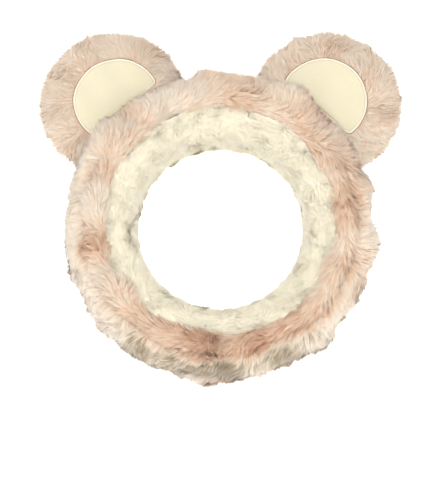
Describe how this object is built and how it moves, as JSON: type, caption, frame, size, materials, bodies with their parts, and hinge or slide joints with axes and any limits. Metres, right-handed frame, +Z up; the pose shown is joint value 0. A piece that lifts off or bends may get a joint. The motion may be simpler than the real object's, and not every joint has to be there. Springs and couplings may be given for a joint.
{
  "type": "animal ears headband",
  "caption": "Plush padded ring headband with round stuffed bear-style ears, pale inner-ear panels and a cream fleece lining; it stretches round the head.",
  "frame": {"origin": "centre of the head opening, midway between the ring's front and rear edges", "axes": "+Z up through the crown, midway between the ears; Y along the ring's axis, with the ear panels facing -Y; +X towards the right-hand ear as seen from the front"},
  "size_m": [0.2524, 0.064, 0.2434],
  "materials": {
    "plush": "long, soft, dusty pink pile",
    "fleece": "short, fluffy, ivory pile",
    "velour": "smooth, very short, cream pile",
    "binding": "narrow sewn edge in off-white thread",
    "thread": "matte sewing thread",
    "foam": "open-cell foam",
    "elastic": "woven elastic tape",
    "filling": "loose polyester fibre"
  },
  "bodies": {
    "crown_band": {"crown_plush_cover": "plush", "crown_fleece_lining": "fleece", "crown_foam_core": "foam", "crown_elastic": "elastic", "crown_front_seam_thread": "thread", "crown_rear_seam_thread": "thread", "left_ear_base_thread": "thread", "right_ear_base_thread": "thread"},
    "nape_band": {"nape_plush_cover_left": "plush", "nape_plush_cover_right": "plush", "nape_fleece_lining_left": "fleece", "nape_fleece_lining_right": "fleece", "nape_foam_core": "foam", "nape_elastic": "elastic", "nape_front_seam_thread": "thread", "nape_rear_seam_thread": "thread", "nape_closing_seam_thread": "thread"},
    "left_ear": {"left_ear_front_plush": "plush", "left_ear_back_plush": "plush", "left_ear_inner_panel": "velour", "left_ear_panel_binding": "binding", "left_ear_filling": "filling", "left_ear_rim_thread": "thread"},
    "right_ear": {"right_ear_front_plush": "plush", "right_ear_back_plush": "plush", "right_ear_inner_panel": "velour", "right_ear_panel_binding": "binding", "right_ear_filling": "filling", "right_ear_rim_thread": "thread"}
  },
  "joints": [
    {"name": "band_stretch", "type": "slide", "parent": "crown_band", "child": "nape_band", "axis": [0, 0, -1], "range_m": [0, 0.07], "stiffness_N_per_m": 150, "springref_m": -0.005},
    {"name": "left_ear_flop", "type": "hinge", "parent": "crown_band", "child": "left_ear", "pos_m": [-0.06935, 0, 0.08148], "axis": [0.7615, 0, 0.6481], "range_deg": [-40, 40], "stiffness_Nm_per_rad": 0.03},
    {"name": "right_ear_flop", "type": "hinge", "parent": "crown_band", "child": "right_ear", "pos_m": [0.06935, 0, 0.08148], "axis": [0.7615, 0, -0.6481], "range_deg": [-40, 40], "stiffness_Nm_per_rad": 0.03}
  ]
}
